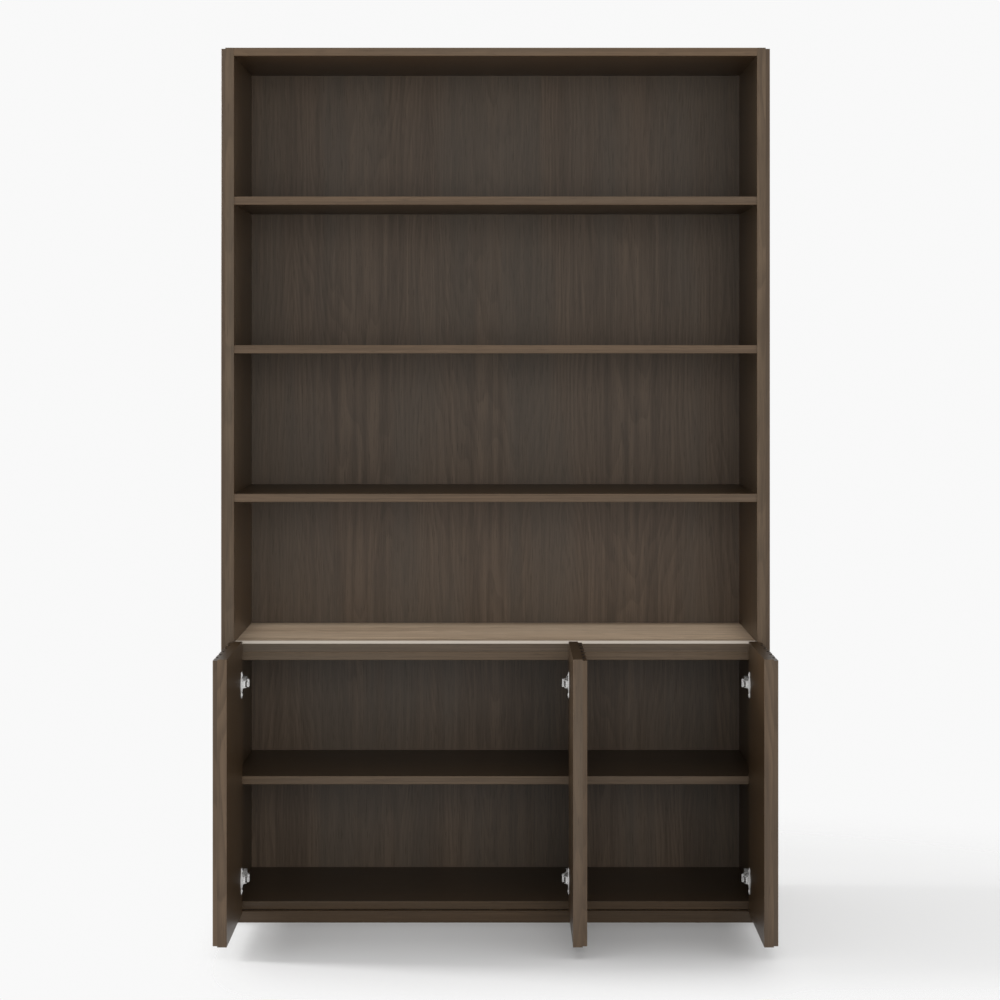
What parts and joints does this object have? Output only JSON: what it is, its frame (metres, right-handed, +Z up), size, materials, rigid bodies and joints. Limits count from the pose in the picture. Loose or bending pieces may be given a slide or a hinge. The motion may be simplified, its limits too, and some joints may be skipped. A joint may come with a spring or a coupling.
{
  "type": "bookcase with cabinet doors",
  "caption": "Tall wooden bookcase with open shelves above a slatted-door cabinet on concealed hinges.",
  "frame": {"origin": "on the floor under the middle of the case, on the underside of the base centre rail", "axes": "+X to the right seen from the front, +Y to the back, +Z up; the front faces -Y"},
  "size_m": [1.219, 0.8627, 1.9465],
  "materials": {
    "side_veneer": "dark grey-brown walnut veneer, upright grain, satin lacquer",
    "slat_veneer": "dark grey-brown walnut slats, upright grain, satin lacquer",
    "board_veneer": "dark grey-brown walnut veneer, grain along the board, satin lacquer",
    "counter_veneer": "grey-brown walnut veneer, grain along the board, satin lacquer",
    "back_veneer": "dark walnut veneer, upright grain, matt",
    "door_veneer": "dark grey-brown walnut veneer, upright grain, satin lacquer",
    "nickel_plate": "bright nickel plate"
  },
  "bodies": {
    "carcass": {"base_back_rail": "board_veneer", "base_centre_rail": "board_veneer", "base_front_rail": "board_veneer", "bottom_board": "board_veneer", "cabinet_shelf_narrow": "board_veneer", "cabinet_shelf_wide": "board_veneer", "counter_board": "counter_veneer", "counter_rail_left": "board_veneer", "counter_rail_right": "board_veneer", "left_door_hinge_arms": "nickel_plate", "left_door_hinge_plates": "nickel_plate", "left_side_panel": "side_veneer", "left_side_slats": "slat_veneer", "lower_back_panel": "back_veneer", "middle_door_hinge_arms": "nickel_plate", "middle_door_hinge_plates": "nickel_plate", "partition": "side_veneer", "right_door_hinge_arms": "nickel_plate", "right_door_hinge_plates": "nickel_plate", "right_side_panel": "side_veneer", "right_side_slats": "slat_veneer", "shelf_pins": "nickel_plate", "top_board": "board_veneer", "upper_back_panel": "back_veneer", "upper_shelf_1": "board_veneer", "upper_shelf_2": "board_veneer", "upper_shelf_3": "board_veneer"},
    "left_door": {"left_door_hinge_cups": "nickel_plate", "left_door_panel": "door_veneer", "left_door_slats": "slat_veneer"},
    "left_hinge_links": {"left_door_hinge_links": "nickel_plate"},
    "middle_door": {"middle_door_hinge_cups": "nickel_plate", "middle_door_panel": "door_veneer", "middle_door_slats": "slat_veneer"},
    "middle_hinge_links": {"middle_door_hinge_links": "nickel_plate"},
    "right_door": {"right_door_hinge_cups": "nickel_plate", "right_door_panel": "door_veneer", "right_door_slats": "slat_veneer"},
    "right_hinge_links": {"right_door_hinge_links": "nickel_plate"}
  },
  "joints": [
    {"name": "left_door_hinge", "type": "hinge", "parent": "carcass", "child": "left_door", "pos_m": [-0.5815, -0.241, 0.3], "axis": [0, 0, -1], "range_deg": [-90, 5]},
    {"name": "left_link_pivot", "type": "hinge", "parent": "carcass", "child": "left_hinge_links", "pos_m": [-0.5505, -0.229, 0.3], "axis": [0, 0, 1], "range_deg": [-90, 5]},
    {"name": "middle_door_hinge", "type": "hinge", "parent": "carcass", "child": "middle_door", "pos_m": [0.18183, -0.241, 0.3], "axis": [0, 0, 1], "range_deg": [-90, 5]},
    {"name": "middle_link_pivot", "type": "hinge", "parent": "carcass", "child": "middle_hinge_links", "pos_m": [0.15083, -0.229, 0.3], "axis": [0, 0, -1], "range_deg": [-90, 5]},
    {"name": "right_door_hinge", "type": "hinge", "parent": "carcass", "child": "right_door", "pos_m": [0.5815, -0.241, 0.3], "axis": [0, 0, 1], "range_deg": [-90, 5]},
    {"name": "right_link_pivot", "type": "hinge", "parent": "carcass", "child": "right_hinge_links", "pos_m": [0.5505, -0.229, 0.3], "axis": [0, 0, -1], "range_deg": [-90, 5]}
  ],
  "couplings": [
    {"joint": "left_link_pivot", "follows": "left_door_hinge", "ratio": 1},
    {"joint": "middle_link_pivot", "follows": "middle_door_hinge", "ratio": 1},
    {"joint": "right_link_pivot", "follows": "right_door_hinge", "ratio": 1}
  ]
}
